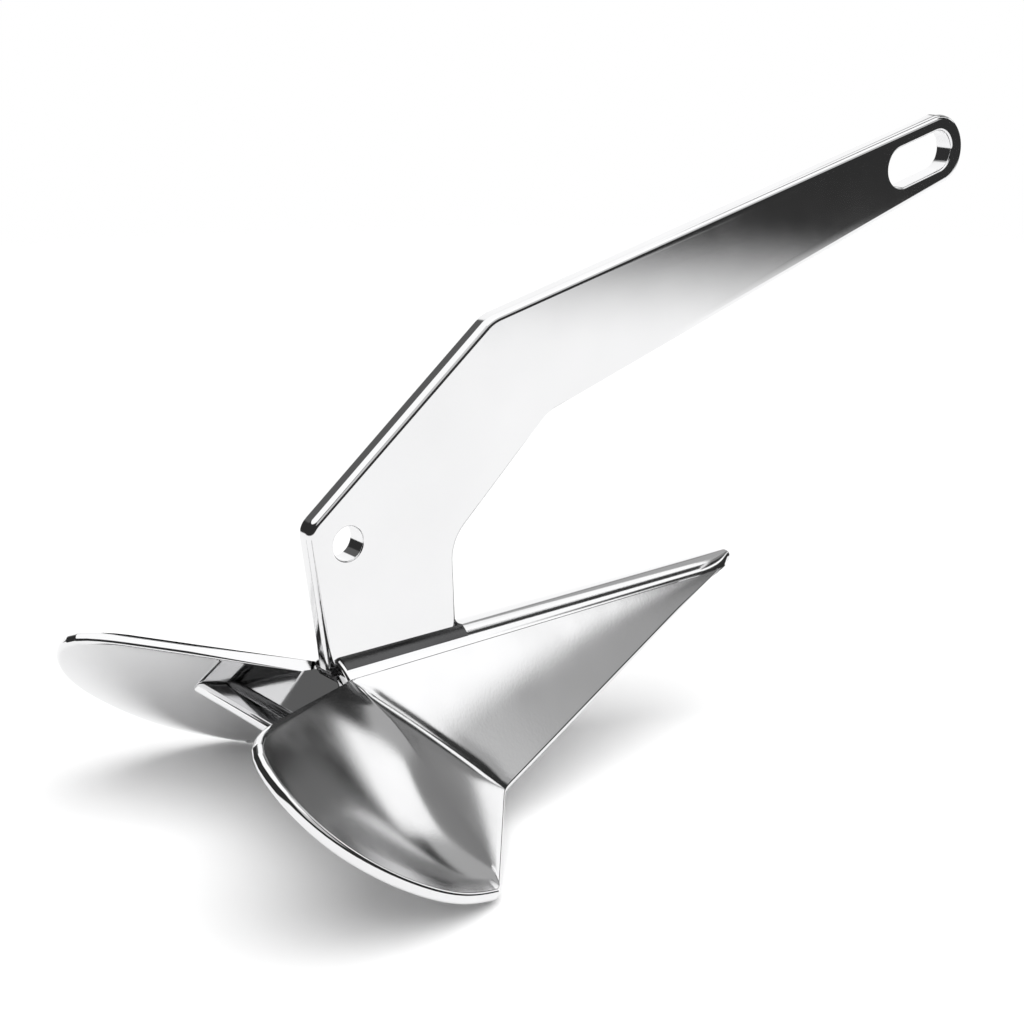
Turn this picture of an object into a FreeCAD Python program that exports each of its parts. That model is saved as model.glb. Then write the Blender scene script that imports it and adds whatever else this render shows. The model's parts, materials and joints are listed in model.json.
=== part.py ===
import FreeCAD, Part
import math
import os

# Fixed-shank plough anchor in polished stainless steel.
# All lengths in millimetres.  X points to the nose, Y to the left, Z up.
# The design frame has its zero near the rear end of the ridge; every finished
# part is moved so that the middle of the footprint stands at the origin.

# shank plate, stations are (X, Z)
SHANK_T = 14.2
SHANK_EDGE_R = 4.5
SHANK_REAR_FOOT = (-15.0, 5.5)
SHANK_HEEL = (-27.0, 95.0)
SHANK_KINK = (105.0, 200.5)
SHANK_LOW_KINK = (150.0, 134.5)
SHANK_LOW_BEND = (76.5, 67.0)
SHANK_FRONT_FOOT = (78.5, 5.5)
HEEL_R = 13.0
KINK_R = 26.0
LOW_KINK_R = 30.0
LOW_BEND_R = 26.0
EYE_CENTRE = (500.5, 267.0)
EYE_R = 24.5
SLOT_R = 14.0
SLOT_CENTRES = 37.0
SLOT_FRONT_CENTRE = (498.0, 267.0)
SLOT_SLOPE = 13.5
TRIP_HOLE = (0.0, 81.5)
TRIP_HOLE_R = 10.5

# rolled ridge of the fluke: its radius shrinks evenly towards the nose, its top is level
RIDGE_TOP_Z = 12.6
RIDGE_FOOT_R = 23.8
RIDGE_TAPER = -0.0200
RIDGE_REAR_X = -10.0
RIDGE_SOLID_X = 276.0
RIDGE_CONE_X = 290.0
RIDGE_TIP_X = 308.5
RIDGE_TIP_R = 5.0

# fluke blades, right-hand stations are (X, breadth, Z)
PLATE_T = 7.5
FOLD_START_X = -8.7
NOSE_TIP_X = 292.0
KNUCKLE = (65.0, 72.5, -69.0)
WING_TOE = (12.0, 135.0, -89.0)
CREASE_STATIONS = [(5.0, 42.0), (11.5, 80.0), (15.0, 110.0)]
WING_REAR_CORNER = (-137.0, 113.0, 28.0)
WING_SIDE_STATIONS = [(-117.0, 137.0, -4.0), (-82.0, 154.0, -40.0), (-27.0, 152.0, -74.0)]
WING_FRONT_CORNER = (6.0, 143.5, -86.5)
WING_DISH = 6.0
WING_OVERSIZE = 1.3
WING_OUTLINE = [
    (-98.0, 81.5, 22.5),
    (-113.5, 93.0, 24.0),
    (-125.0, 104.0, 19.0),
    (-127.5, 118.0, 5.5),
    (-119.0, 133.0, -7.0),
    (-104.0, 145.5, -23.0),
    (-83.0, 151.5, -42.0),
    (-57.0, 152.5, -61.0),
    (-27.0, 150.0, -77.0),
    (8.0, 141.0, -88.5),
]

# plates inside the fluke
CROSS_T = 7.5
CROSS_REAR_X = -57.0
CROSS_FRONT_X = -12.0
CROSS_TOP_Z = -16.5
BULKHEAD_T = 5.0
BULKHEAD_FOOT_X = -41.0
BULKHEAD_LEAN = 33.0
COVER_T = 5.0
COVER_INSET = 5.0
COVER_REAR_X = 72.0
BALLAST_REAR_X = 150.0
BALLAST_FRONT_X = 285.0

# weld beads
SHANK_BEAD_RISE = 2.0
SHANK_BEAD_CROWN = 1.0
SHANK_BEAD_LAP = math.radians(-15.0)
SHANK_BEAD_START_X = -8.0
SHANK_BEAD_END_X = 81.0
FRONT_BEAD = 6.0
REAR_BEAD_R = 4.5
PLATE_BEAD_R = 3.0

Y_AXIS = FreeCAD.Vector(0, 1, 0)
JOIN_TOL = 0.005

os.makedirs("parts", exist_ok=True)


def vec(x, y, z):
    return FreeCAD.Vector(x, y, z)


def right(station):
    """Point of the right-hand half from a station with a positive breadth."""
    return vec(station[0], -station[1], station[2])


def in_profile(station):
    """Point of the middle plane from an (X, Z) station."""
    return vec(station[0], 0, station[1])


def plane_normal(a, b, c):
    """Upward unit normal of the plane through three points."""
    normal = (b - a).cross(c - a).normalize()
    return normal if normal.z > 0 else normal * -1.0


def mirrored(shape):
    return shape.mirror(vec(0, 0, 0), Y_AXIS)


def polygon(points):
    return Part.Face(Part.makePolygon(points + [points[0]]))


def spline_through(points):
    curve = Part.BSplineCurve()
    curve.interpolate(points)
    return curve


def curve_at(curve, fraction):
    """Point of a curve at a fraction of its parameter range."""
    first = curve.FirstParameter
    return curve.value(first + (curve.LastParameter - first) * fraction)


def piece_at(shape, point):
    """The solid of a cut result that holds a point."""
    for solid in shape.Solids:
        if solid.isInside(point, 0.001, True):
            return solid
    raise ValueError("no solid holds the point")


def rounded_path(corners, radii):
    """Edges of an open path in the XZ plane, with an arc at each inner corner."""
    edges = []
    start = corners[0]
    for before, corner, after, radius in zip(corners, corners[1:], corners[2:], radii):
        back = (before - corner).normalize()
        ahead = (after - corner).normalize()
        half = back.getAngle(ahead) / 2
        inward = (back + ahead).normalize()
        middle = corner + inward * (radius / math.sin(half) - radius)
        first = corner + back * (radius / math.tan(half))
        last = corner + ahead * (radius / math.tan(half))
        edges.append(Part.makeLine(start, first))
        if radius > 0:
            edges.append(Part.Arc(first, middle, last).toShape())
        start = last
    edges.append(Part.makeLine(start, corners[-1]))
    return edges


# rolled ridge ---------------------------------------------------------------
KNUCKLE_POINT = right(KNUCKLE)
TOE_POINT = right(WING_TOE)


def ridge_radius(x):
    return RIDGE_FOOT_R + RIDGE_TAPER * x


def ridge_axis(x):
    return RIDGE_TOP_Z - ridge_radius(x)


def ridge_turn():
    """Angle from +Y at which the nose faces run onto the ridge, at the knuckle's station."""
    x = KNUCKLE_POINT.x
    reach = KNUCKLE_POINT - vec(x, 0, ridge_axis(x))
    return math.atan2(reach.z, reach.y) - math.acos(ridge_radius(x) / reach.Length)


RIDGE_TURN = ridge_turn()


def ridge_point(x, angle):
    r = ridge_radius(x)
    return vec(x, r * math.cos(angle), ridge_axis(x) + r * math.sin(angle))


def ridge_tangent(x):
    """Point on the line where the right nose face runs onto the ridge."""
    return ridge_point(x, RIDGE_TURN)


FOLD_START = ridge_tangent(FOLD_START_X)
NOSE_TIP = ridge_tangent(NOSE_TIP_X)
NOSE_NORMAL = plane_normal(FOLD_START, NOSE_TIP, KNUCKLE_POINT)
FACET_NORMAL = plane_normal(FOLD_START, KNUCKLE_POINT, TOE_POINT)
WING_NORMAL = plane_normal(FOLD_START, right(WING_REAR_CORNER), TOE_POINT)


def cone_between(start, end):
    """Ruled solid between two circles across X, given as (x, radius, top)."""
    rings = []
    for x, r, top in (start, end):
        rings.append(Part.Wire([Part.makeCircle(r, vec(x, 0, top - r), vec(1, 0, 0))]))
    return Part.makeLoft(rings, True, True)


def make_ridge():
    """Rolled strip between the two nose faces, with a solid rounded tip."""
    rear, cone, top = RIDGE_REAR_X, RIDGE_CONE_X, RIDGE_TOP_Z
    body = cone_between((rear, ridge_radius(rear), top), (cone, ridge_radius(cone), top))
    nose = cone_between((cone, ridge_radius(cone), top), (RIDGE_TIP_X, RIDGE_TIP_R, top))
    ball = Part.makeSphere(RIDGE_TIP_R, vec(RIDGE_TIP_X, 0, top - RIDGE_TIP_R))
    inner = []
    for x in (rear - 1, RIDGE_SOLID_X):
        inner.append((x, ridge_radius(x) - PLATE_T, top - PLATE_T))
    strip = body.fuse([nose, ball]).cut(cone_between(*inner))
    along = (NOSE_TIP - FOLD_START).normalize()
    down = NOSE_NORMAL.cross(along).normalize()
    if down.z > 0:
        down = down * -1.0
    start = FOLD_START - along * 40 + NOSE_NORMAL * 30
    wall = [start, start + along * 420, start + along * 420 - NOSE_NORMAL * 90, start - NOSE_NORMAL * 90]
    below = polygon(wall).extrude(down * 150)
    strip = strip.cut([below, mirrored(below)])
    return max(strip.Solids, key=lambda solid: solid.Volume).removeSplitter()


def on_facet(x, breadth):
    """Point of the facet plane over a plan position."""
    flat = vec(x, -breadth, 0) - vec(FOLD_START.x, FOLD_START.y, 0)
    drop = (FACET_NORMAL.x * flat.x + FACET_NORMAL.y * flat.y) / FACET_NORMAL.z
    return vec(x, -breadth, FOLD_START.z - drop)


CREASE = spline_through([FOLD_START] + [on_facet(x, b) for x, b in CREASE_STATIONS] + [TOE_POINT])
WING_SIDE = spline_through(
    [right(s) for s in [WING_REAR_CORNER] + WING_SIDE_STATIONS + [WING_FRONT_CORNER]])


def wing_point(across, along):
    """Top face of the dished wing: across runs crease to side, along runs rear to toe."""
    clipped = min(max(along, 0.0), 1.0)
    inner = curve_at(CREASE, clipped)
    outer = curve_at(WING_SIDE, clipped)
    if along < 0:
        inner = inner + (inner - curve_at(CREASE, 0.05)) * (-8 * along)
        outer = outer + (outer - curve_at(WING_SIDE, 0.05)) * (-20 * along)
    chord = outer - inner
    depth = WING_DISH * math.sin(math.pi * clipped) * 4 * across * (1 - across)
    return inner + chord * across - WING_NORMAL * depth


def wing_normal(across, along):
    """Upward unit normal of the wing's top face."""
    if across == 0:
        return FACET_NORMAL
    step = 0.002
    du = wing_point(across + step, along) - wing_point(across - step, along)
    dv = wing_point(across, along + step) - wing_point(across, along - step)
    normal = du.cross(dv).normalize()
    return normal if normal.z > 0 else normal * -1.0


def patch_solid(top_grid, bottom_grid):
    """Closed solid between two point grids of the same size."""
    surfaces = []
    for grid in (top_grid, bottom_grid):
        surface = Part.BSplineSurface()
        surface.interpolate(grid)
        surfaces.append(surface)
    faces = [surface.toShape() for surface in surfaces]
    for value in (0.0, 1.0):
        for edges in (
                [surface.uIso(value).toShape() for surface in surfaces],
                [surface.vIso(value).toShape() for surface in surfaces]):
            faces.append(Part.makeRuledSurface(edges[0], edges[1]))
    shell = Part.makeShell(faces)
    shell.sewShape()
    solid = Part.makeSolid(Part.Shell(shell.Faces))
    solid.fix(0.01, 0.01, 0.01)
    return solid


def make_wing():
    """Dished wing, cut to its outline square to the plate."""
    across = [i / 8 * WING_OVERSIZE for i in range(9)]
    along = [-0.04] + [i / 24 for i in range(25)]
    top = [[wing_point(u, v) for v in along] for u in across]
    bottom = [[wing_point(u, v) - wing_normal(u, v) * PLATE_T for v in along] for u in across]
    slab = patch_solid(top, bottom)

    def dropped(point):
        return point - WING_NORMAL * (point.dot(WING_NORMAL) + 120)

    side_points = [dropped(right(station)) for station in WING_OUTLINE]
    side = spline_through(side_points)
    inboard = [dropped(vec(70, -150, -100)), dropped(vec(110, 0, 40)), dropped(FOLD_START)]
    corners = [side_points[-1]] + inboard + [side_points[0]]
    edges = [Part.makeLine(a, b) for a, b in zip(corners, corners[1:])]
    outline = Part.Face(Part.Wire([side.toShape()] + edges))
    return slab.common(outline.extrude(WING_NORMAL * 320))


def make_blade(cutters):
    """Right half of the fluke: nose face, fold, facet and dished wing."""
    nose = polygon([FOLD_START, NOSE_TIP, KNUCKLE_POINT]).extrude(NOSE_NORMAL * -PLATE_T)
    facet_edges = [
        CREASE.toShape(),
        Part.makeLine(TOE_POINT, KNUCKLE_POINT),
        Part.makeLine(KNUCKLE_POINT, FOLD_START),
    ]
    facet = Part.Face(Part.Wire(facet_edges)).extrude(FACET_NORMAL * -PLATE_T)
    bend_face = polygon([
        FOLD_START, KNUCKLE_POINT,
        KNUCKLE_POINT - NOSE_NORMAL * PLATE_T, FOLD_START - NOSE_NORMAL * PLATE_T])
    axis = NOSE_NORMAL.cross(FACET_NORMAL).normalize()
    turn = math.degrees(NOSE_NORMAL.getAngle(FACET_NORMAL))
    bend = bend_face.revolve(FOLD_START, axis, turn)
    blade = nose.fuse([facet, bend, make_wing()], JOIN_TOL)
    blade = blade.cut(cutters)
    return max(blade.Solids, key=lambda solid: solid.Volume)


# shank ----------------------------------------------------------------------
def tangent_point(outside, centre, radius, side):
    """Where a line from an outside point touches a circle; side +1 above, -1 below."""
    reach = centre - outside
    angle = math.atan2(reach.z, reach.x) + side * math.asin(radius / reach.Length)
    return centre + vec(-math.sin(angle), 0, math.cos(angle)) * (side * radius)


def slot_tool():
    """Straight-sided slot with round ends, through the shank."""
    slope = math.radians(SLOT_SLOPE)
    axis = vec(math.cos(slope), 0, math.sin(slope))
    up = vec(-axis.z, 0, axis.x) * SLOT_R
    front = in_profile(SLOT_FRONT_CENTRE) - Y_AXIS * SHANK_T
    rear = front - axis * SLOT_CENTRES
    edges = [
        Part.makeLine(rear + up, front + up),
        Part.Arc(front + up, front + axis * SLOT_R, front - up).toShape(),
        Part.makeLine(front - up, rear - up),
        Part.Arc(rear - up, rear - axis * SLOT_R, rear + up).toShape(),
    ]
    return Part.Face(Part.Wire(edges)).extrude(Y_AXIS * (2 * SHANK_T))


def make_shank():
    """Bent plate with a slotted eye, a trip hole and well rounded edges."""
    eye = in_profile(EYE_CENTRE)
    kink = in_profile(SHANK_KINK)
    low_kink = in_profile(SHANK_LOW_KINK)
    top_end = tangent_point(kink, eye, EYE_R, 1)
    low_end = tangent_point(low_kink, eye, EYE_R, -1)
    forward = (eye - kink).normalize() + (eye - low_kink).normalize()
    corners = [
        low_end, low_kink, in_profile(SHANK_LOW_BEND), in_profile(SHANK_FRONT_FOOT),
        in_profile(SHANK_REAR_FOOT), in_profile(SHANK_HEEL), kink, top_end]
    edges = rounded_path(corners, [LOW_KINK_R, LOW_BEND_R, 0, 0, HEEL_R, KINK_R])
    edges.append(Part.Arc(top_end, eye + forward.normalize() * EYE_R, low_end).toShape())
    face = Part.Face(Part.Wire(edges))
    face.translate(Y_AXIS * (-SHANK_T / 2))
    plate = face.extrude(Y_AXIS * SHANK_T)
    foot_z = SHANK_REAR_FOOT[1]
    rims = [e for e in plate.Edges if e.BoundBox.YLength < 0.001 and e.BoundBox.ZMax > foot_z + 1]
    plate = plate.makeFillet(SHANK_EDGE_R, rims)
    hole = Part.makeCylinder(
        TRIP_HOLE_R, 2 * SHANK_T, in_profile(TRIP_HOLE) - Y_AXIS * SHANK_T, Y_AXIS)
    return plate.cut([slot_tool(), hole])


# plates inside the fluke ------------------------------------------------------
def make_cross_plate(fluke):
    """Level plate between the wings' undersides."""
    block = Part.makeBox(
        CROSS_FRONT_X - CROSS_REAR_X, 320, CROSS_T,
        vec(CROSS_REAR_X, -160, CROSS_TOP_Z - CROSS_T))
    middle = vec((CROSS_REAR_X + CROSS_FRONT_X) / 2, 0, CROSS_TOP_Z - CROSS_T / 2)
    return piece_at(block.cut(fluke), middle)


def wing_plane_square(depth):
    """Large square parallel to the right wing, a depth below its flat top."""
    across = WING_NORMAL.cross(vec(1, 0, 0)).normalize() * 200
    along = across.cross(WING_NORMAL)
    centre = FOLD_START - WING_NORMAL * depth
    return [centre + across + along, centre - across + along,
            centre - across - along, centre + across - along]


def make_bulkhead(fluke):
    """Leaning plate from the cross plate up to the roof of the fluke."""
    lean = math.radians(BULKHEAD_LEAN)
    rise = vec(math.cos(lean), 0, math.sin(lean))
    foot = vec(BULKHEAD_FOOT_X, -160, CROSS_TOP_Z) - rise * 10
    top = foot + rise * 54
    slab = polygon([foot, top, top + Y_AXIS * 320, foot + Y_AXIS * 320])
    thick = vec(rise.z, 0, -rise.x) * BULKHEAD_T
    over = polygon(wing_plane_square(PLATE_T - 0.5)).extrude(WING_NORMAL * 150)
    slab = slab.extrude(thick).cut([over, mirrored(over)])
    middle = vec(BULKHEAD_FOOT_X, 0, CROSS_TOP_Z) + rise * 14 + thick * 0.5
    return piece_at(slab.cut(fluke), middle)


NOSE_FLOOR_SLOPE = math.atan2(NOSE_TIP.z - KNUCKLE_POINT.z, NOSE_TIP.x - KNUCKLE_POINT.x)
NOSE_FLOOR_DIR = vec(math.cos(NOSE_FLOOR_SLOPE), 0, math.sin(NOSE_FLOOR_SLOPE))
NOSE_FLOOR_UP = vec(-NOSE_FLOOR_DIR.z, 0, NOSE_FLOOR_DIR.x)


def make_nose_cover(fluke):
    """Sloping plate that closes the hollow nose from below."""
    base = vec(KNUCKLE_POINT.x, 0, KNUCKLE_POINT.z) + NOSE_FLOOR_UP * COVER_INSET
    start = base + NOSE_FLOOR_DIR * ((COVER_REAR_X - base.x) / NOSE_FLOOR_DIR.x)
    corner = start - Y_AXIS * 100
    reach = NOSE_FLOOR_DIR * 280
    slab = polygon([corner, corner + reach, corner + reach + Y_AXIS * 200, corner + Y_AXIS * 200])
    slab = slab.extrude(NOSE_FLOOR_UP * COVER_T)
    middle = start + NOSE_FLOOR_DIR * 60 + NOSE_FLOOR_UP * (COVER_T / 2)
    return piece_at(slab.cut(fluke), middle)


def make_ballast(fluke):
    """Lead casting that fills the closed front of the nose."""
    block = Part.makeBox(
        BALLAST_FRONT_X - BALLAST_REAR_X, 200, 160, vec(BALLAST_REAR_X, -100, -120))
    middle = vec(BALLAST_REAR_X + 10, 0, RIDGE_TOP_Z - PLATE_T - 10)
    return piece_at(block.cut(fluke), middle)


# weld beads -------------------------------------------------------------------
def make_shank_bead(neighbours):
    """Low fillet between the shank's right side and the ridge."""
    rings = []
    for x in (SHANK_BEAD_START_X, SHANK_BEAD_END_X):
        start = -math.pi - math.acos(SHANK_T / 2 / ridge_radius(x))
        turns = [start + (RIDGE_TURN + SHANK_BEAD_LAP - start) * k for k in (0.0, 0.5, 1.0)]
        root, middle, low = [ridge_point(x, turn) for turn in turns]
        top = root + vec(0, 0, SHANK_BEAD_RISE)
        crown = middle + vec(0, -math.cos(math.radians(60)), math.sin(math.radians(60))) * SHANK_BEAD_CROWN
        inside = root + vec(0, 2, -5)
        rings.append(Part.Wire([
            Part.Arc(top, crown, low).toShape(),
            Part.makeLine(low, inside),
            Part.makeLine(inside, top)]))
    bead = Part.makeLoft(rings, True, True).cut(neighbours)
    return max(bead.Solids, key=lambda solid: solid.Volume)


def make_front_bead(neighbours):
    """Small fillet where the shank's front edge meets the ridge."""
    x = SHANK_FRONT_FOOT[0] - 1
    z = RIDGE_TOP_Z
    corner = vec(x - 4, -4.5, z - 4)
    top = vec(x, -4.5, z + FRONT_BEAD)
    toe = vec(x + FRONT_BEAD, -4.5, z - 0.5)
    hollow = vec(x + FRONT_BEAD * 0.3, -4.5, z + FRONT_BEAD * 0.3)
    edges = [
        Part.Arc(top, hollow, toe).toShape(),
        Part.makeLine(toe, corner),
        Part.makeLine(corner, top),
    ]
    bead = Part.Face(Part.Wire(edges)).extrude(Y_AXIS * 9).cut(neighbours)
    return max(bead.Solids, key=lambda solid: solid.Volume)


def make_rear_bead(neighbours):
    """Closing bead across the rear of the shank foot."""
    centre = vec(RIDGE_REAR_X - 0.5, -8, SHANK_REAR_FOOT[1] - 0.5)
    bead = Part.makeCylinder(REAR_BEAD_R, 16, centre, Y_AXIS).cut(neighbours)
    return max(bead.Solids, key=lambda solid: solid.Volume)


def rod_between(start, end, radius):
    run = end - start
    return Part.makeCylinder(radius, run.Length, start, run)


def make_cross_bead(cross, neighbours):
    """Bead over the right end of the cross plate, along the wing's underside."""
    top = [v.Point for v in cross.Vertexes if abs(v.Point.z - CROSS_TOP_Z) < 0.01]
    rear = min((p for p in top if abs(p.x - CROSS_REAR_X) < 0.01), key=lambda p: p.y)
    front = min((p for p in top if abs(p.x - CROSS_FRONT_X) < 0.01), key=lambda p: p.y)
    inset = (front - rear) * 0.03
    bead = rod_between(rear + inset, front - inset, PLATE_BEAD_R).cut(neighbours)
    above = [solid for solid in bead.Solids if solid.CenterOfMass.z > CROSS_TOP_Z]
    return max(above, key=lambda solid: solid.Volume)


def make_bulkhead_bead(neighbours):
    """Bead along the foot of the bulkhead."""
    start = vec(BULKHEAD_FOOT_X, -120, CROSS_TOP_Z)
    bead = rod_between(start, start + Y_AXIS * 240, PLATE_BEAD_R).cut(neighbours)
    return piece_at(bead, vec(BULKHEAD_FOOT_X - PLATE_BEAD_R / 2, 0, CROSS_TOP_Z + 0.5))


def planes_meet(planes):
    """Common point of three planes given as (point, normal)."""
    (p1, n1), (p2, n2), (p3, n3) = planes
    spread = n1.dot(n2.cross(n3))
    total = n2.cross(n3) * p1.dot(n1) + n3.cross(n1) * p2.dot(n2) + n1.cross(n2) * p3.dot(n3)
    return total * (1.0 / spread)


def make_cover_bead(neighbours):
    """Bead under the nose cover, along the right blade's inner face."""
    inner = (KNUCKLE_POINT - NOSE_NORMAL * PLATE_T, NOSE_NORMAL)
    under = (vec(KNUCKLE_POINT.x, 0, KNUCKLE_POINT.z) + NOSE_FLOOR_UP * COVER_INSET, NOSE_FLOOR_UP)
    ends = []
    for x in (COVER_REAR_X + 2, COVER_REAR_X + 150):
        ends.append(planes_meet([inner, under, (vec(x, 0, 0), vec(1, 0, 0))]))
    bead = rod_between(ends[0], ends[1], PLATE_BEAD_R).cut(neighbours)
    below = [s for s in bead.Solids if (s.CenterOfMass - under[0]).dot(NOSE_FLOOR_UP) < 0]
    return max(below, key=lambda solid: solid.Volume)


# assembly ---------------------------------------------------------------------
def make_parts():
    parts = {}
    bar = make_ridge()
    blade = make_blade([bar])
    fluke = [bar, blade, mirrored(blade)]
    parts["ridge_bar"] = bar
    parts["fluke_blade_right"] = blade
    parts["fluke_blade_left"] = mirrored(blade)
    parts["shank"] = max(make_shank().cut(fluke).Solids, key=lambda solid: solid.Volume)
    cross = make_cross_plate(fluke)
    parts["cross_plate"] = cross
    parts["bulkhead"] = make_bulkhead(fluke + [cross, parts["shank"]])
    parts["nose_cover"] = make_nose_cover(fluke)
    parts["ballast"] = make_ballast(fluke + [parts["nose_cover"]])

    main = list(parts.values())
    bead = make_shank_bead(main)
    parts["shank_weld_right"] = bead
    parts["shank_weld_left"] = mirrored(bead)
    sides = [bead, mirrored(bead)]
    parts["shank_weld_front"] = make_front_bead(main + sides)
    parts["shank_weld_rear"] = make_rear_bead(main + sides)
    parts["bulkhead_weld"] = make_bulkhead_bead(main)
    bead = make_cross_bead(cross, main + [parts["bulkhead_weld"]])
    parts["cross_weld_right"] = bead
    parts["cross_weld_left"] = mirrored(bead)
    bead = make_cover_bead(main)
    parts["cover_weld_right"] = bead
    parts["cover_weld_left"] = mirrored(bead)
    return parts


def footprint_shift(parts):
    """Move that brings the middle of the footprint to the origin, feet on Z = 0."""
    boxes = [shape.optimalBoundingBox(True, False) for shape in parts.values()]
    x_min = min(box.XMin for box in boxes)
    x_max = max(box.XMax for box in boxes)
    z_min = min(box.ZMin for box in boxes)
    return vec(round(-(x_min + x_max) / 2, 1), 0, round(-z_min, 1))


PARTS = make_parts()
SHIFT = footprint_shift(PARTS)
for node, shape in PARTS.items():
    shape.translate(SHIFT)
    shape.exportStep("parts/" + node + ".step")
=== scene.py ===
import json
import math

import bmesh
import bpy
import numpy as np
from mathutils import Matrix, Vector
from mathutils.geometry import tessellate_polygon


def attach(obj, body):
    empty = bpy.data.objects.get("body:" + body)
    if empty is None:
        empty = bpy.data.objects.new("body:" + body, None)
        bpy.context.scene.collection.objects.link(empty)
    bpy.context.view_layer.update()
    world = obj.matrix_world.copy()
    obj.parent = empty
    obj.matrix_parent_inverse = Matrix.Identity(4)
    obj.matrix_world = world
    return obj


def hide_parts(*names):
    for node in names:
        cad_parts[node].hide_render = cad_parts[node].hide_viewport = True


# Fixed-shank plough anchor in mirror-polished stainless steel.
# Meshes are written in the CAD model's design millimetres and moved into the
# row frame, in metres, by SHIFT.  Stations of the right half have -Y breadth.
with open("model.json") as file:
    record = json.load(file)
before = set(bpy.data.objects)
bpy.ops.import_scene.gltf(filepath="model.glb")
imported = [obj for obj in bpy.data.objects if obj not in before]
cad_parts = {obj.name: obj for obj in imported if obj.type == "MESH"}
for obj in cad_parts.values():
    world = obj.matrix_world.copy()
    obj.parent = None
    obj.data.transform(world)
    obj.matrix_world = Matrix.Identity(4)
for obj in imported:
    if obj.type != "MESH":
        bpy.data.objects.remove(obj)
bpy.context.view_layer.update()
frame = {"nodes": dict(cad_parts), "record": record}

MM = 0.001
SHIFT = Vector((-198.4, 0.0, 94.7))

# shank plate, stations are (X, Z)
SHANK_T = 14.2
SHANK_EDGE_R = 4.5
SHANK_CORNERS = [
    ((150.0, 134.5), 30.0),
    ((76.5, 67.0), 26.0),
    ((78.5, 5.5), 0.0),
    ((-15.0, 5.5), 0.0),
    ((-27.0, 95.0), 13.0),
    ((105.0, 200.5), 26.0),
]
EYE_CENTRE = (500.5, 267.0)
EYE_R = 24.5
SLOT_R = 14.0
SLOT_CENTRES = 37.0
SLOT_FRONT = (498.0, 267.0)
SLOT_SLOPE = math.radians(13.5)
SLOT_RIM_R = 1.6
TRIP_HOLE = (0.0, 81.5)
TRIP_HOLE_R = 10.5
HOLE_RIM_R = 0.8

# rolled ridge: its radius shrinks evenly towards the nose, its top is level
RIDGE_TOP_Z = 12.6
RIDGE_FOOT_R = 23.8
RIDGE_TAPER = -0.0200
RIDGE_REAR_X = -10.0
RIDGE_SOLID_X = 276.0
RIDGE_CONE_X = 290.0
RIDGE_TAPER_X = 272.0
RIDGE_TIP_X = 308.5
RIDGE_TIP_R = 5.0
RIDGE_END_R = 2.5
RIDGE_END_STEPS = 5
RIDGE_STEPS = 26
RIDGE_NOSE_STEPS = 14
RIDGE_COLUMNS = 56
SEAM_GAP = 0.35
TIP_HALF_TURN = math.radians(176)
TIP_EASE = 2.2

# blade, right-hand half
PLATE_T = 7.5
RIM_R = 3.0
CREASE_SOFT = 1.6
FOLD_SOFT = 6.5
NOSE_CROWN = 0.014
TIP_THIN = 0.25
TIP_THIN_REACH = 60.0
KNUCKLE = Vector((65.0, -72.5, -69.0))
TOE = Vector((12.0, -135.0, -89.0))
CREASE_STATIONS = [(5.0, 42.0), (11.5, 80.0), (15.0, 110.0)]
WING_REAR = Vector((-137.0, -113.0, 28.0))
WING_SIDE = [
    (-117.0, 137.0, -4.0),
    (-82.0, 154.0, -40.0),
    (-27.0, 152.0, -74.0),
    (6.0, 143.5, -86.5),
]
WING_DISH = 6.0
WING_OUTLINE = [
    (8.0, 141.0, -88.5),
    (-27.0, 150.0, -77.0),
    (-57.0, 152.5, -61.0),
    (-83.0, 151.5, -42.0),
    (-104.0, 145.5, -23.0),
    (-119.0, 133.0, -7.0),
    (-127.5, 118.0, 5.5),
    (-125.0, 104.0, 19.0),
    (-113.5, 93.0, 24.0),
    (-98.0, 81.5, 22.5),
]


# ---------------------------------------------------------------- materials
def node_material(name):
    material = bpy.data.materials.new(name)
    material.use_nodes = True
    nodes = material.node_tree.nodes
    nodes.clear()
    output = nodes.new("ShaderNodeOutputMaterial")
    shader = nodes.new("ShaderNodeBsdfPrincipled")
    material.node_tree.links.new(shader.outputs["BSDF"], output.inputs["Surface"])
    return material, material.node_tree, shader


def noise(tree, scale, detail, coordinate, stretch=(1.0, 1.0, 1.0)):
    mapping = tree.nodes.new("ShaderNodeMapping")
    mapping.inputs["Scale"].default_value = stretch
    tree.links.new(coordinate, mapping.inputs["Vector"])
    texture = tree.nodes.new("ShaderNodeTexNoise")
    texture.inputs["Scale"].default_value = scale
    texture.inputs["Detail"].default_value = detail
    tree.links.new(mapping.outputs["Vector"], texture.inputs["Vector"])
    return texture.outputs["Fac"]


def ranged(tree, value, low, high):
    node = tree.nodes.new("ShaderNodeMapRange")
    node.inputs["From Min"].default_value = 0.3
    node.inputs["From Max"].default_value = 0.7
    node.inputs["To Min"].default_value = low
    node.inputs["To Max"].default_value = high
    tree.links.new(value, node.inputs["Value"])
    return node.outputs["Result"]


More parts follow.
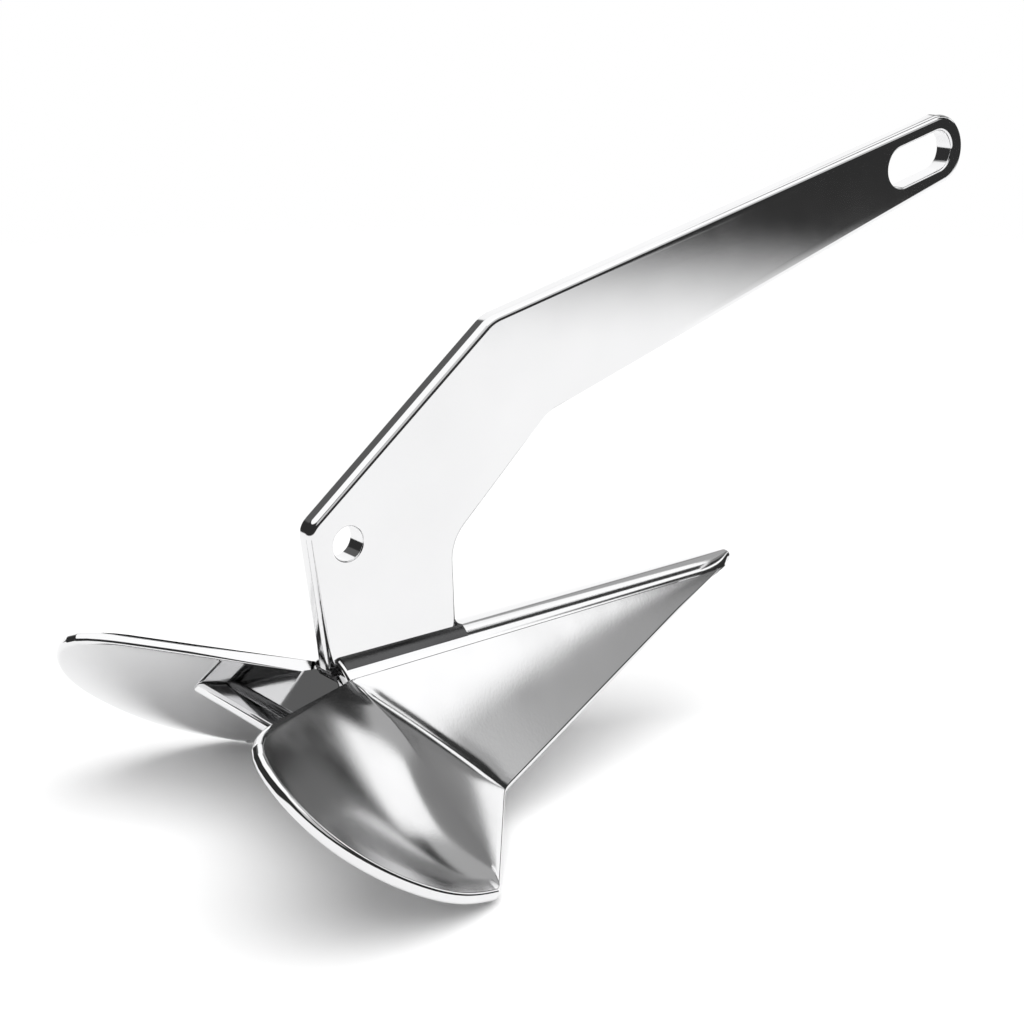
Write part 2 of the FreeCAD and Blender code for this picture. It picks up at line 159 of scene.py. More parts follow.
def metal(name, colour, rough, wave, grain):
    """Polished metal: slow waviness, fine polishing grain and uneven gloss."""
    material, tree, shader = node_material(name)
    place = tree.nodes.new("ShaderNodeTexCoord").outputs["Object"]
    tint = tree.nodes.new("ShaderNodeMix")
    tint.data_type = "RGBA"
    tint.inputs["A"].default_value = [c * 0.94 for c in colour] + [1.0]
    tint.inputs["B"].default_value = list(colour) + [1.0]
    tree.links.new(ranged(tree, noise(tree, 9.0, 3.0, place), 0.0, 1.0), tint.inputs["Factor"])
    tree.links.new(tint.outputs["Result"], shader.inputs["Base Color"])
    shader.inputs["Metallic"].default_value = 1.0
    gloss = ranged(tree, noise(tree, 26.0, 6.0, place), rough * 0.75, rough * 1.3)
    tree.links.new(gloss, shader.inputs["Roughness"])
    slow = tree.nodes.new("ShaderNodeBump")
    slow.inputs["Strength"].default_value = wave
    slow.inputs["Distance"].default_value = 0.002
    tree.links.new(noise(tree, 16.0, 1.0, place), slow.inputs["Height"])
    fine = tree.nodes.new("ShaderNodeBump")
    fine.inputs["Strength"].default_value = grain
    fine.inputs["Distance"].default_value = 0.0002
    streaks = noise(tree, 700.0, 4.0, place, (1.0, 1.0, 0.12))
    tree.links.new(streaks, fine.inputs["Height"])
    tree.links.new(slow.outputs["Normal"], fine.inputs["Normal"])
    tree.links.new(fine.outputs["Normal"], shader.inputs["Normal"])
    return material


STEEL = metal("polished_stainless", (0.78, 0.78, 0.785), 0.07, 0.04, 0.03)
SATIN = metal("polished_stainless_broad", (0.78, 0.78, 0.785), 0.10, 0.04, 0.04)
WELD = metal("weld_metal", (0.09, 0.09, 0.092), 0.22, 0.25, 0.15)
LEAD = metal("cast_lead", (0.30, 0.31, 0.33), 0.55, 0.5, 0.5)
MATERIALS = {"polished_stainless": STEEL, "weld_metal": WELD, "lead": LEAD}


# ---------------------------------------------------------------- mesh helpers
def make_piece(name, points, faces, slot, replaced, sharp=35.0, broad=0):
    """Piece from design-millimetre points, smooth but for edges over the sharp angle."""
    mesh = bpy.data.meshes.new(name)
    mesh.from_pydata([tuple((Vector(p) + SHIFT) * MM) for p in points], [], faces)
    for polygon in mesh.polygons[:broad]:
        polygon.material_index = 1
    bm = bmesh.new()
    bm.from_mesh(mesh)
    bmesh.ops.remove_doubles(bm, verts=bm.verts, dist=2e-6)
    bmesh.ops.dissolve_degenerate(bm, edges=bm.edges, dist=2e-6)
    bmesh.ops.recalc_face_normals(bm, faces=bm.faces)
    bm.to_mesh(mesh)
    bm.free()
    return finish_piece(name, mesh, slot, replaced, sharp)


def finish_piece(name, mesh, slot, replaced, sharp):
    for polygon in mesh.polygons:
        polygon.use_smooth = True
    mesh.set_sharp_from_angle(angle=math.radians(sharp))
    kept = [polygon.material_index for polygon in mesh.polygons]
    mesh.materials.clear()
    mesh.materials.append(MATERIALS[slot])
    mesh.polygons.foreach_set("material_index", kept)
    piece = bpy.data.objects.new(name, mesh)
    bpy.context.scene.collection.objects.link(piece)
    normals = piece.modifiers.new("weighted_normals", "WEIGHTED_NORMAL")
    normals.keep_sharp = True
    normals.weight = 100
    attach(piece, "root")
    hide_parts(replaced)
    return piece


def grid_faces(rows, columns, closed=False, start=0):
    """Quads of a grid of points stored row by row."""
    faces = []
    for i in range(rows - 1):
        for j in range(columns if closed else columns - 1):
            k = (j + 1) % columns
            a, b = start + i * columns + j, start + i * columns + k
            faces.append((a, b, b + columns, a + columns))
    return faces


class Spline:
    """Natural cubic spline through points, by chord length, on 0..1."""

    def __init__(self, points):
        self.p = np.array([tuple(p) for p in points], float)
        steps = np.linalg.norm(np.diff(self.p, axis=0), axis=1)
        self.t = np.concatenate([[0.0], np.cumsum(steps)]) / steps.sum()
        n = len(self.t)
        h = np.diff(self.t)
        a = np.eye(n)
        b = np.zeros_like(self.p)
        for i in range(1, n - 1):
            a[i, i - 1:i + 2] = h[i - 1], 2 * (h[i - 1] + h[i]), h[i]
            slope = (self.p[i + 1] - self.p[i]) / h[i] - (self.p[i] - self.p[i - 1]) / h[i - 1]
            b[i] = 6 * slope
        self.m = np.linalg.solve(a, b)

    def at(self, t):
        i = int(min(max(np.searchsorted(self.t, t) - 1, 0), len(self.t) - 2))
        h = self.t[i + 1] - self.t[i]
        a, b = (self.t[i + 1] - t) / h, (t - self.t[i]) / h
        bend = ((a ** 3 - a) * self.m[i] + (b ** 3 - b) * self.m[i + 1]) * h * h / 6
        return Vector(a * self.p[i] + b * self.p[i + 1] + bend)


# ---------------------------------------------------------------- shank
def unit2(v):
    return v / math.hypot(*v)


def arc2(centre, radius, start, end, step=3.0):
    """Points and outward normals of an arc, angles in radians."""
    count = max(2, int(abs(end - start) / math.radians(step)) + 1)
    ring = []
    for k in range(count + 1):
        angle = start + (end - start) * k / count
        normal = np.array([math.cos(angle), math.sin(angle)])
        ring.append((np.array(centre) + radius * normal, normal))
    return ring


def tangent_angle(outside, side):
    """Angle on the eye circle where a line from outside touches it."""
    reach = np.array(EYE_CENTRE) - np.array(outside)
    angle = math.atan2(reach[1], reach[0]) + side * math.asin(EYE_R / math.hypot(*reach))
    return angle + side * math.pi / 2


def shank_outline():
    """Closed outline as (point, outward normal), from the eye's low end round to its top."""
    low = tangent_angle(SHANK_CORNERS[0][0], -1)
    top = tangent_angle(SHANK_CORNERS[-1][0], 1)
    eye = np.array(EYE_CENTRE)
    low_end = eye + EYE_R * np.array([math.cos(low), math.sin(low)])
    top_end = eye + EYE_R * np.array([math.cos(top), math.sin(top)])
    path = [low_end] + [np.array(c) for c, _ in SHANK_CORNERS] + [top_end]
    outline = []
    for before, corner, after, (_, radius) in zip(path, path[1:], path[2:], SHANK_CORNERS):
        back, ahead = unit2(before - corner), unit2(after - corner)
        n_in = np.array([-back[1], back[0]])
        n_out = np.array([ahead[1], -ahead[0]])
        if radius == 0:
            outline.append((corner, (n_in + n_out) * -1 / (1 + n_in @ n_out)))
            continue
        half = math.acos(back @ ahead) / 2
        centre = corner + unit2(back + ahead) * (radius / math.sin(half))
        first = corner + back * (radius / math.tan(half)) - centre
        last = corner + ahead * (radius / math.tan(half)) - centre
        start, end = math.atan2(first[1], first[0]), math.atan2(last[1], last[0])
        turn = (end - start + math.pi) % (2 * math.pi) - math.pi
        ring = arc2(centre, radius, start, start + turn)
        outside = 1 if (ring[0][1] @ (n_in * -1)) > 0 else -1
        outline += [(p, n * outside) for p, n in ring]
    outline += arc2(eye, EYE_R, top, low + (0 if low < top else -2 * math.pi))
    return outline


def slot_ring(offset):
    axis = np.array([math.cos(SLOT_SLOPE), math.sin(SLOT_SLOPE)])
    front = np.array(SLOT_FRONT)
    rear = front - axis * SLOT_CENTRES
    quarter = math.pi / 2
    ring = arc2(front, SLOT_R, SLOT_SLOPE - quarter, SLOT_SLOPE + quarter, 5.0)
    ring += arc2(rear, SLOT_R, SLOT_SLOPE + quarter, SLOT_SLOPE + 3 * quarter, 5.0)
    return [p + n * offset for p, n in ring]


def hole_ring(offset):
    ring = arc2(np.array(TRIP_HOLE), TRIP_HOLE_R, 0.0, 2 * math.pi, 6.0)[:-1]
    return [p + n * offset for p, n in ring]


def rim_rows(radius, steps):
    """(inset, Y) rows from the right face round to the left face."""
    quarter = [math.radians(90 * k / steps) for k in range(steps + 1)]
    half = SHANK_T / 2
    rows = [(radius * (1 - math.sin(q)), -(half - radius) - radius * math.cos(q)) for q in quarter]
    return rows + [(inset, -y) for inset, y in reversed(rows)]


def build_shank():
    outline = shank_outline()
    points, faces = [], []
    loops = [
        (lambda inset: [p - n * inset for p, n in outline], SHANK_EDGE_R, 8),
        (slot_ring, SLOT_RIM_R, 5),
        (hole_ring, HOLE_RIM_R, 4),
    ]
    ends = []
    for ring_at, radius, steps in loops:
        rows = rim_rows(radius, steps)
        start = len(points)
        for inset, y in rows:
            ring = ring_at(inset)
            points += [(p[0], y, p[1]) for p in ring]
        count = len(ring)
        faces += grid_faces(len(rows), count, True, start)
        ends.append((start, start + (len(rows) - 1) * count, count))
    for side in (0, 1):
        rings, index = [], []
        for ends_of_loop in ends:
            first, count = ends_of_loop[side], ends_of_loop[2]
            ring = points[first:first + count]
            rings.append([Vector((x, z, 0)) for x, _, z in ring])
            index += range(first, first + count)
        faces += [tuple(index[k] for k in tri) for tri in tessellate_polygon(rings)]
    make_piece("polished_shank", points, faces, "polished_stainless", "shank", 50.0)


# ---------------------------------------------------------------- ridge
def ridge_radius(x):
    return RIDGE_FOOT_R + RIDGE_TAPER * x


def ridge_turn():
    """Angle from +Y at which the right nose face runs onto the ridge."""
    radius = ridge_radius(KNUCKLE.x)
    reach = KNUCKLE - Vector((KNUCKLE.x, 0, RIDGE_TOP_Z - radius))
    return math.atan2(reach.z, reach.y) - math.acos(radius / reach.length)


RIDGE_TURN = ridge_turn()


def ridge_tangent(x):
    r = ridge_radius(x)
    return Vector((x, r * math.cos(RIDGE_TURN), RIDGE_TOP_Z - r + r * math.sin(RIDGE_TURN)))


def ridge_sections():
    """(X, outer radius, inner radius, half angle) along the ridge."""
    half = RIDGE_TURN + 2 * math.pi - math.pi / 2
    sections = []
    for k in range(RIDGE_END_STEPS + 1):
        q = math.radians(90 * (1 - k / RIDGE_END_STEPS))
        x = RIDGE_REAR_X + RIDGE_END_R * (1 - math.sin(q))
        inner = ridge_radius(x) - PLATE_T
        sections.append((x, ridge_radius(x) - RIDGE_END_R * (1 - math.cos(q)), inner, half))
    start = RIDGE_REAR_X + RIDGE_END_R
    for k in range(1, RIDGE_STEPS + 1):
        x = start + (RIDGE_SOLID_X - RIDGE_REAR_X - RIDGE_END_R) * k / RIDGE_STEPS
        sections.append((x, ridge_radius(x), ridge_radius(x) - PLATE_T, half))
    for k in range(1, RIDGE_NOSE_STEPS + 1):
        s = k / RIDGE_NOSE_STEPS
        ease = s * s * (3 - 2 * s)
        x = RIDGE_SOLID_X + (RIDGE_TIP_X - RIDGE_SOLID_X) * s
        t = max(0.0, (x - RIDGE_TAPER_X) / (RIDGE_TIP_X - RIDGE_TAPER_X))
        outer = ridge_radius(x) * (1 - t ** TIP_EASE) + RIDGE_TIP_R * t ** TIP_EASE
        inner = (ridge_radius(RIDGE_SOLID_X) - PLATE_T) * (1 - ease) * 0.98
        turn = half + (TIP_HALF_TURN - half) * t ** 2
        sections.append((x, outer, min(inner, outer * 0.5), turn))
    for k in range(1, 8):
        tilt = math.radians(90 * k / 8)
        x = RIDGE_TIP_X + RIDGE_TIP_R * math.sin(tilt)
        sections.append((x, RIDGE_TIP_R * math.cos(tilt), 0.01, TIP_HALF_TURN))
    return sections


def nose_low(x):
    """Height of the nose faces' lower edges, level from their tip on."""
    slope = (TIP.z - KNUCKLE.z) / (TIP.x - KNUCKLE.x)
    return TIP.z - slope * max(TIP.x - x, 0.0) - 0.5


def build_ridge():
    """Rolled strip between the nose faces, closing to a solid rounded tip."""
    points = []
    columns = RIDGE_COLUMNS
    sections = ridge_sections()
    for x, outer, inner, half in sections:
        on_tip = x > RIDGE_TIP_X
        axis_z = RIDGE_TOP_Z - (RIDGE_TIP_R if on_tip else outer)
        if x < RIDGE_REAR_X + RIDGE_END_R:
            axis_z = RIDGE_TOP_Z - ridge_radius(x)
        gap = 0.0 if x > RIDGE_CONE_X else SEAM_GAP / outer
        for radius, way in ((outer, 1), (inner, -1)):
            for k in range(columns + 1):
                angle = way * (half - gap) * (2 * k / columns - 1)
                height = max(axis_z + radius * math.cos(angle), nose_low(x))
                points.append((x, radius * math.sin(angle), height))
    width = 2 * (columns + 1)
    rows = len(sections)
    faces = grid_faces(rows, width, True)
    # end caps, as bands between the outer and the inner arc
    for start in (0, (rows - 1) * width):
        for k in range(columns):
            a, b = start + k, start + k + 1
            c, d = start + width - 2 - k, start + width - 1 - k
            faces.append((a, b, c, d))
    make_piece("polished_ridge", points, faces, "polished_stainless", "ridge_bar", 50.0)


# ---------------------------------------------------------------- blade
def upward_normal(a, b, c):
    normal = (b - a).cross(c - a).normalized()
    return normal if normal.z > 0 else -normal


FOLD = ridge_tangent(-8.7)
TIP = ridge_tangent(292.0)
FACET_NORMAL = upward_normal(FOLD, KNUCKLE, TOE)
WING_NORMAL = upward_normal(FOLD, WING_REAR, TOE)


def on_facet(x, breadth):
    flat = Vector((x - FOLD.x, -breadth - FOLD.y, 0))
    drop = (FACET_NORMAL.x * flat.x + FACET_NORMAL.y * flat.y) / FACET_NORMAL.z
    return Vector((x, -breadth, FOLD.z - drop))


def right(station):
    return Vector((station[0], -station[1], station[2]))


CREASE = Spline([FOLD] + [on_facet(x, b) for x, b in CREASE_STATIONS] + [TOE])
SIDE = Spline([WING_REAR] + [right(s) for s in WING_SIDE])
OUTLINE = Spline([right(s) for s in WING_OUTLINE])
PLANE_X = WING_NORMAL.cross(Vector((0, 0, 1))).normalized()
PLANE_Y = WING_NORMAL.cross(PLANE_X)


def wing_point(across, along):
    """Top face of the dished wing, as in the CAD model."""
    clipped = min(max(along, 0.0), 1.0)
    inner, outer = CREASE.at(clipped), SIDE.at(clipped)
    if along < 0:
        inner = inner + (inner - CREASE.at(0.05)) * (-8 * along)
        outer = outer + (outer - SIDE.at(0.05)) * (-20 * along)
    depth = WING_DISH * math.sin(math.pi * clipped) * 4 * across * (1 - across)
    return inner + (outer - inner) * across - WING_NORMAL * depth


def flat2(point):
    return np.array([point.dot(PLANE_X), point.dot(PLANE_Y)])


def wing_over(target, guess):
    """Point of the wing's top face over a place in the wing's plane."""
    u, v = guess
    for _ in range(12):
        here = flat2(wing_point(u, v))
        step = 1e-3
        du = (flat2(wing_point(u + step, v)) - here) / step
        dv = (flat2(wing_point(u, v + step)) - here) / step
        try:
            move = np.linalg.solve(np.array([du, dv]).T, target - here)
        except np.linalg.LinAlgError:
            break
        move = np.clip(move, -0.2, 0.2)
        u, v = u + move[0], max(min(v + move[1], 1.0), -0.12)
        if abs(move).max() < 1e-5:
            break
    return wing_point(u, v), (u, v)


def outline_at(b):
    """Wing's outer side from the toe (0) to the rear edge's end (1)."""
    lead = 0.03
    if b < lead:
        return TOE.lerp(OUTLINE.at(0.0), b / lead)
    return OUTLINE.at((b - lead) / (1 - lead))


NOSE_NORMAL = upward_normal(FOLD, TIP, KNUCKLE)


def thickness_at(point):
    """Plate thickness, ground thin where the nose faces run into the tip."""
    away = min((Vector(point) - TIP).length / TIP_THIN_REACH, 1.0)
    return PLATE_T * (TIP_THIN + (1 - TIP_THIN) * away)


def crowned(point):
    """Lifts a point of the nose face so that the face swells between its long edges."""
    low = KNUCKLE.lerp(TIP, (point.x - KNUCKLE.x) / (TIP.x - KNUCKLE.x))
    top = ridge_tangent(point.x)
    width = max((low - top).length, 1e-6)
    t = min((point - top).length / width, 1.0)
    return point + NOSE_NORMAL * (width * NOSE_CROWN * 4 * t * (1 - t))


def ring_points(rho, wing_cols, facet_cols, nose_cols, guesses):
    """One ring of the fan round the fold's start: wing, crease, facet, fold, nose."""
    rear_end, toe = OUTLINE.at(1.0), TOE
    crease = CREASE.at(rho)
    rear = FOLD.lerp(rear_end, rho)
    ring = []
    for k, b in enumerate(wing_cols):
        flat = (
            crease * (1 - b) + rear * b
            + outline_at(b) * rho
            - toe * ((1 - b) * rho) - rear_end * (b * rho))
        if b == 0:
            ring.append(crease)
            continue
        point, guesses[k] = wing_over(flat2(flat), guesses.get(k, (b * 0.5, rho)))
        ring.append(point)
    ring.reverse()
    fold, ridge = FOLD.lerp(KNUCKLE, rho), FOLD.lerp(TIP, rho)
    ring += [crease.lerp(crowned(fold), a) for a in facet_cols[1:]]
    ring += [crowned(fold.lerp(ridge, c)) for c in nose_cols[1:]]
    return ring


def soften(ring, sigmas):
    """Rounds the folds of a ring by averaging along its length, over each point's sigma."""
    points = np.array([tuple(p) for p in ring])
    steps = np.linalg.norm(np.diff(points, axis=0), axis=1)
    s = np.concatenate([[0.0], np.cumsum(steps)])
    if s[-1] < 1e-6:
        return points
    share = np.zeros(len(s))
    share[1:] += steps / 2
    share[:-1] += steps / 2
    out = points.copy()
    for i in range(1, len(s) - 1):
        width = min(sigmas[i], s[i] / 3, (s[-1] - s[i]) / 3)
        if width < 1e-4:
            continue
        weight = np.exp(-0.5 * ((s - s[i]) / width) ** 2) * share
        # the mean is taken about the point's own place, so the columns keep their spacing
        weight /= weight.sum()
        mean_s = weight @ s
        along = (points[i + 1] - points[i - 1]) / max(s[i + 1] - s[i - 1], 1e-9)
        out[i] = weight @ points + along * (s[i] - mean_s)
    return out


def surface_normals(grid):
    """Unit normals of a grid of points, turned upwards."""
    du = np.gradient(grid, axis=0)
    dv = np.gradient(grid, axis=1)
    normals = np.cross(du, dv)
    length = np.linalg.norm(normals, axis=2, keepdims=True)
    normals = normals / np.maximum(length, 1e-12)
    normals[normals[:, :, 2] < 0] *= -1
    normals[0] = normals[1]
    return normals


def blade_mesh():
    """Points and faces of the right blade: top, underside and rounded rims."""
    wing_cols = [(k / 46) ** 1.5 for k in range(47)]
    facet_cols = [s * s * (3 - 2 * s) for s in (k / 26 for k in range(27))]
    nose_cols = [(k / 34) ** 1.4 for k in range(35)]
    rhos = [0.0, 0.015, 0.035, 0.06] + [0.09 + 0.0325 * k for k in range(27)] + [1.0]
    guesses = {}
    rings = []
    for rho in rhos:
        ring = ring_points(rho, wing_cols, facet_cols, nose_cols, guesses)
        length = sum((b - a).length for a, b in zip(ring, ring[1:]))
        fade = 1 - 0.6 * max(0.0, (rho - 0.8) / 0.2)
        fold_at = len(wing_cols) + len(facet_cols) - 2
        crease_at = len(wing_cols) - 1
        sigmas = []
        for k in range(len(ring)):
            t = min(max((k - crease_at) / (fold_at - crease_at), 0.0), 1.0)
            sigmas.append(min((CREASE_SOFT + (FOLD_SOFT - CREASE_SOFT) * t) * fade, 0.1 * length))
        rings.append(soften(ring, sigmas))
    grid = np.array(rings)
    normals = surface_normals(grid)
    rows, cols = grid.shape[:2]
    # rim chain: up the rear edge, then along the outer ring to the nose tip
    chain = [(i, 0) for i in range(1, rows)] + [(rows - 1, j) for j in range(1, cols)]
    inner = [(i, 1) for i in range(1, rows)] + [(rows - 2, j) for j in range(1, cols)]
    place = np.array([grid[c] for c in chain])
    top = grid.copy()
    sections = []
    for k, cell in enumerate(chain):
        normal = normals[cell]
        before = place[max(k - 1, 0)]
        after = place[min(k + 1, len(chain) - 1)]
        sides = []
        for a, b in ((before, place[k]), (place[k], after)):
            run = b - a
            if np.linalg.norm(run) < 1e-9:
                continue
            out = np.cross(run, normal)
            out /= np.linalg.norm(out)
            inward = grid[inner[k]] - place[k]
            if out @ inward > 0:
                out = -out
            sides.append(out)
        b1, b2 = sides[0], sides[-1]
        thick = thickness_at(place[k])
        radius = min(RIM_R, 0.45 * thick, 0.6 * np.linalg.norm(grid[inner[k]] - place[k]))
        inset = place[k] - (b1 + b2) / (1 + b1 @ b2) * radius
        turn = math.acos(max(-1.0, min(1.0, float(b1 @ b2))))
        bulge = float((b2 - b1) @ (after - before)) > 0
        fans = [0.5]
        if turn > 0.25 and bulge:
            fans = [f / 6 for f in range(7)]
        top[cell] = inset
        for f in fans:
            out = b1 * (1 - f) + b2 * f
            if len(fans) == 1:
                reach = (b1 + b2) / (1 + b1 @ b2)
            else:
                reach = out / np.linalg.norm(out)
            sections.append((cell, inset, reach, normal, radius, thick))
    thickness = np.array([[thickness_at(point) for point in row] for row in grid])
    bottom = top - normals * thickness[:, :, None]
    broad = 2 * (rows - 1) * (cols - 1)
    points = [tuple(p) for p in top.reshape(-1, 3)] + [tuple(p) for p in bottom.reshape(-1, 3)]
    count = rows * cols
    faces = grid_faces(rows, cols) + grid_faces(rows, cols, False, count)
    steps = 6
    quarter = [math.radians(90 * s / steps) for s in range(steps + 1)]
    profile = [(math.sin(q), 1 - math.cos(q)) for q in quarter]
    start = len(points)
    width = 2 * len(profile)
    for cell, inset, reach, normal, radius, thick in sections:
        column = [inset + reach * radius * a - normal * radius * d for a, d in profile]
        column += [
            inset + reach * radius * a - normal * (thick - radius * d)
            for a, d in reversed(profile)]
        points += [tuple(p) for p in column]
    faces += grid_faces(len(sections), width, False, start)
    # inner walls: along the ridge line and at the start of the rear edge
    wall = [(i, cols - 1) for i in range(rows)]
    for a, b in zip(wall, wall[1:]):
        ia, ib = a[0] * cols + a[1], b[0] * cols + b[1]
        faces.append((ia, ib, ib + count, ia + count))
    start_wall = [(0, j) for j in range(cols)]
    for a, b in zip(start_wall, start_wall[1:]):
        ia, ib = a[1], b[1]
        faces.append((ia, ib, ib + count, ia + count))
    return points, faces, broad


def build_blades():
    """Both blades: broad faces with a softer polish than their buffed rims."""
    points, faces, broad = blade_mesh()
    for side, node in ((1, "right"), (-1, "left")):
        piece = make_piece(
            "polished_blade_" + node, [(x, y * side, z) for x, y, z in points], faces,
            "polished_stainless", "fluke_blade_" + node, 60.0, broad)
        piece.data.materials.append(SATIN)


# ---------------------------------------------------------------- inner plates
def build_plate(node, name, slot, bevel):
    """CAD plate with its edges eased."""
    mesh = frame["nodes"][node].data.copy()
    bm = bmesh.new()
    bm.from_mesh(mesh)
    bmesh.ops.remove_doubles(bm, verts=bm.verts, dist=1e-6)
    bmesh.ops.dissolve_limit(bm, angle_limit=math.radians(4), verts=bm.verts, edges=bm.edges)
    bm.to_mesh(mesh)
    bm.free()
    piece = finish_piece(name, mesh, slot, node, 30.0)
    ease = piece.modifiers.new("eased_edges", "BEVEL")
    ease.width = bevel * MM
    ease.segments = 4
    ease.limit_method = "ANGLE"
    ease.angle_limit = math.radians(35)
    piece.modifiers.move(1, 0)


build_shank()
build_ridge()
build_blades()
build_plate("cross_plate", "polished_cross_plate", "polished_stainless", 2.0)
build_plate("bulkhead", "polished_bulkhead", "polished_stainless", 0.6)
build_plate("nose_cover", "polished_nose_cover", "polished_stainless", 0.6)
for record_part in frame["record"]["subparts"]:
    node = frame["nodes"][record_part["node"]]
    for slot in node.material_slots:
        slot.material = MATERIALS[record_part["material_slot"]]


# ---------------------------------------------------------------- studio
def floor_material():
    material, tree, shader = node_material("pale_floor")
    shader.inputs["Base Color"].default_value = (0.93, 0.93, 0.93, 1.0)
    shader.inputs["Roughness"].default_value = 0.9
    shader.inputs["Specular IOR Level"].default_value = 0.0
    output = tree.nodes["Material Output"]
    place = tree.nodes.new("ShaderNodeTexCoord").outputs["Object"]
    reach = tree.nodes.new("ShaderNodeVectorMath")
    reach.operation = "LENGTH"
    tree.links.new(place, reach.inputs[0])
    fade = tree.nodes.new("ShaderNodeMapRange")
    fade.interpolation_type = "SMOOTHSTEP"
    fade.inputs["From Min"].default_value = FLOOR_SOLID
    fade.inputs["From Max"].default_value = FLOOR_END
    tree.links.new(reach.outputs["Value"], fade.inputs["Value"])
    clear = tree.nodes.new("ShaderNodeBsdfTransparent")
    mix = tree.nodes.new("ShaderNodeMixShader")
    tree.links.new(fade.outputs["Result"], mix.inputs["Fac"])
    tree.links.new(shader.outputs["BSDF"], mix.inputs[1])
    tree.links.new(clear.outputs["BSDF"], mix.inputs[2])
    tree.links.new(mix.outputs["Shader"], output.inputs["Surface"])
    return material


FLOOR_SOLID = 1.2
FLOOR_END = 2.15
FLOOR_RADIUS = 3.0


def build_floor():
    bm = bmesh.new()
    bmesh.ops.create_circle(bm, cap_ends=True, segments=96, radius=FLOOR_RADIUS)
    mesh = bpy.data.meshes.new("studio_floor")
    bm.to_mesh(mesh)
    bm.free()
    mesh.materials.append(floor_material())
    floor = bpy.data.objects.new("studio_floor", mesh)
    bpy.context.scene.collection.objects.link(floor)


def linked(tree, kind, operation, *values):
    """A maths node fed by sockets or numbers."""
    node = tree.nodes.new(kind)
    node.operation = operation
    for socket, value in zip(node.inputs, values):
        if isinstance(value, (int, float, tuple)):
            socket.default_value = value
        else:
            tree.links.new(value, socket)
    return node.outputs["Value"]


def ramp(tree, value, start, end):
    """0 before start, 1 after end, smooth between."""
    node = tree.nodes.new("ShaderNodeMapRange")
    node.interpolation_type = "SMOOTHSTEP"
    node.inputs["From Min"].default_value = start
    node.inputs["From Max"].default_value = end
    tree.links.new(value, node.inputs["Value"])
    return node.outputs["Result"]


def blend_values(tree, factor, a, b):
    node = tree.nodes.new("ShaderNodeMix")
    for name, value in (("Factor", factor), ("A", a), ("B", b)):
        if isinstance(value, (int, float)):
            node.inputs[name].default_value = value
        else:
            tree.links.new(value, node.inputs[name])
    return node.outputs["Result"]


# Soft cards of the studio, as seen from the anchor, later ones over earlier ones.
# In degrees: heading, half width, side softness, low edge, high edge, edge softness;
# then brightness and lean of the sides
CARDS = [
    (0, 400, 1, 44, 100, 3.0, 1.30, 0.0),
    (-65, 29, 6, 20, 44, 3.0, 0.44, 0.0),
    (-75, 30.5, 3, 20, 44, 3.0, 0.70, 0.0),
    (-65, 30.5, 3, 36.8, 62, 3.6, 1.35, 0.0),
    (65, 38, 6, -14, 60, 6.0, 1.20, 0.0),
    (21, 23, 3, 15.0, 44, 2.0, 0.25, 0.0),
    (24.9, 16.5, 1.5, 15.5, 44, 2.0, 0.46, 0.0),
    (-4.5, 4.5, 1.5, 23, 46, 2.0, 1.30, 0.8),
    (0.8, 8.8, 1.5, 10.7, 21.7, 1.6, 1.28, 0.8),
    (21, 6, 2, -5, 8.2, 1.2, 0.17, 0.0),
    (103, 16, 6, 26, 47, 6.0, 0.13, 0.0),
    (-7, 8, 2, 46, 64, 2.0, 0.05, 0.0),
]
LEAN_LEVEL = 21.0


def card_mask(tree, place, heading, half, side_soft, low, high, soft, lean):
    """1 inside a card, 0 outside, with soft edges; its sides lean as they rise."""
    level, turn = place
    top = ramp(tree, level, high - soft / 2, high + soft / 2)
    mask = linked(
        tree, "ShaderNodeMath", "MULTIPLY",
        ramp(tree, level, low - soft / 2, low + soft / 2),
        linked(tree, "ShaderNodeMath", "SUBTRACT", 1.0, top))
    if half >= 180:
        return mask
    rise = linked(tree, "ShaderNodeMath", "SUBTRACT", level, LEAN_LEVEL)
    leaning = linked(tree, "ShaderNodeMath", "MULTIPLY_ADD", rise, lean, turn)
    away = linked(tree, "ShaderNodeMath", "SUBTRACT", leaning, heading)
    degrees = linked(tree, "ShaderNodeMath", "ABSOLUTE", away)
    side = ramp(tree, degrees, half - side_soft / 2, half + side_soft / 2)
    return linked(
        tree, "ShaderNodeMath", "MULTIPLY", mask,
        linked(tree, "ShaderNodeMath", "SUBTRACT", 1.0, side))


BACKDROP = 1.0
AMBIENT = 0.035
FLOOR_LIGHT = 0.42


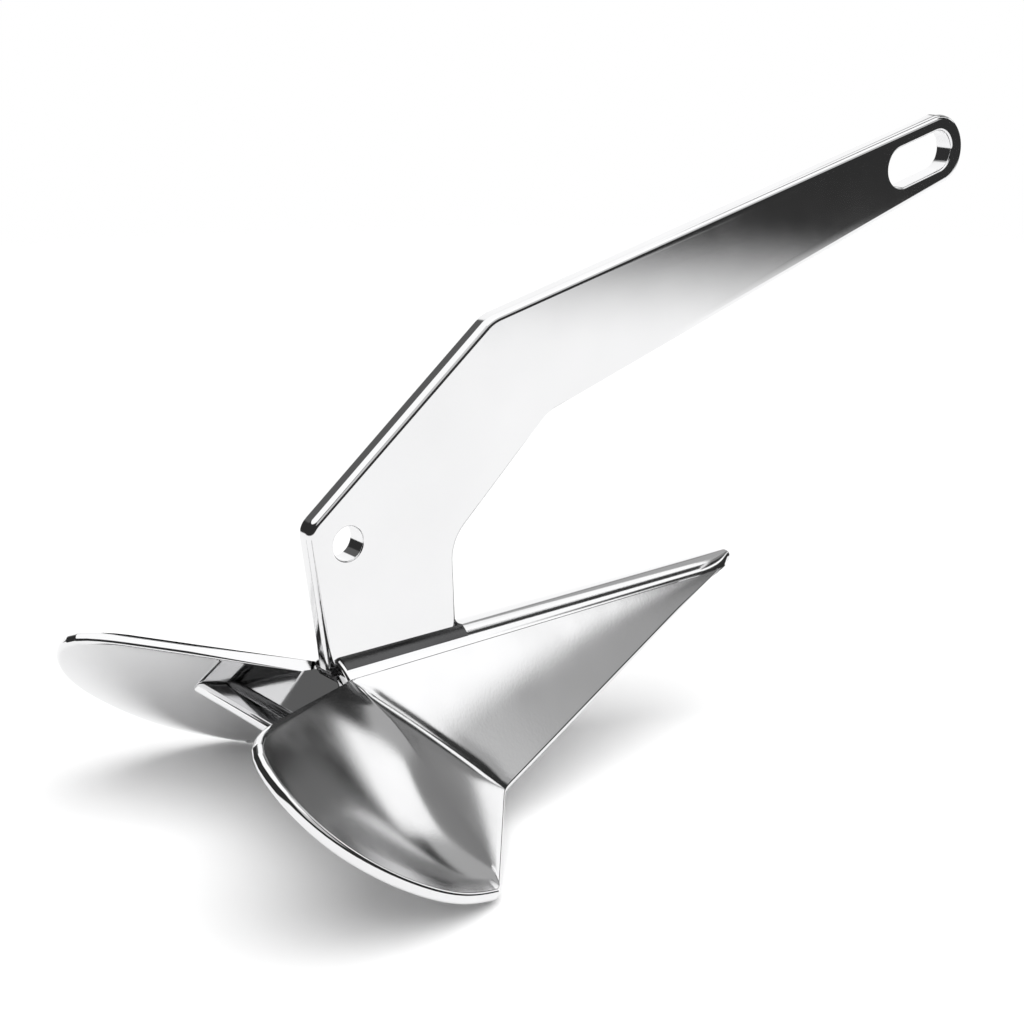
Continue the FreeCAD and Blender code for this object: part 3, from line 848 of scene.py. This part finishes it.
def build_world():
    world = bpy.data.worlds.new("studio")
    bpy.context.scene.world = world
    world.use_nodes = True
    tree = world.node_tree
    tree.nodes.clear()
    heading = tree.nodes.new("ShaderNodeTexCoord").outputs["Generated"]
    parts = tree.nodes.new("ShaderNodeSeparateXYZ")
    tree.links.new(heading, parts.inputs["Vector"])
    height = linked(tree, "ShaderNodeMath", "ARCSINE", parts.outputs["Z"])
    level = linked(tree, "ShaderNodeMath", "DEGREES", height)
    bearing = linked(tree, "ShaderNodeMath", "ARCTAN2", parts.outputs["Y"], parts.outputs["X"])
    place = (level, linked(tree, "ShaderNodeMath", "DEGREES", bearing))
    total = AMBIENT
    for *shape, brightness, lean in CARDS:
        mask = card_mask(tree, place, *shape, lean)
        total = blend_values(tree, mask, total, brightness)
    rays = tree.nodes.new("ShaderNodeLightPath")
    seen = blend_values(tree, rays.outputs["Is Glossy Ray"], FLOOR_LIGHT, total)
    seen = blend_values(tree, rays.outputs["Is Camera Ray"], seen, BACKDROP)
    background = tree.nodes.new("ShaderNodeBackground")
    background.inputs["Color"].default_value = (1.0, 1.0, 1.0, 1.0)
    tree.links.new(seen, background.inputs["Strength"])
    output = tree.nodes.new("ShaderNodeOutputWorld")
    tree.links.new(background.outputs["Background"], output.inputs["Surface"])


KEY_POWER = 2.9
KEY_SPREAD = math.radians(75)
KEY_FROM = Vector((-0.05, -0.38, 1.0))


def build_key():
    """Broad soft light from above and the right-hand side, for the floor shadows."""
    light = bpy.data.lights.new("soft_key", "SUN")
    light.energy = KEY_POWER
    light.angle = KEY_SPREAD
    key = bpy.data.objects.new("soft_key", light)
    key.rotation_euler = (-KEY_FROM).to_track_quat("-Z", "Y").to_euler()
    key.visible_glossy = False
    bpy.context.scene.collection.objects.link(key)


def build_camera():
    camera = bpy.data.cameras.new("camera")
    camera.lens = 70.4
    camera.sensor_width = 36.0
    camera.clip_start = 0.05
    view = bpy.data.objects.new("camera", camera)
    view.location = (-0.8039, -0.9235, 0.5375)
    view.rotation_euler = (math.radians(90 - 17.36), 0.0, math.radians(-38.37))
    bpy.context.scene.collection.objects.link(view)
    bpy.context.scene.camera = view


build_floor()
build_world()
build_key()
build_camera()
bpy.context.scene.view_settings.view_transform = "Standard"
bpy.context.scene.view_settings.look = "None"
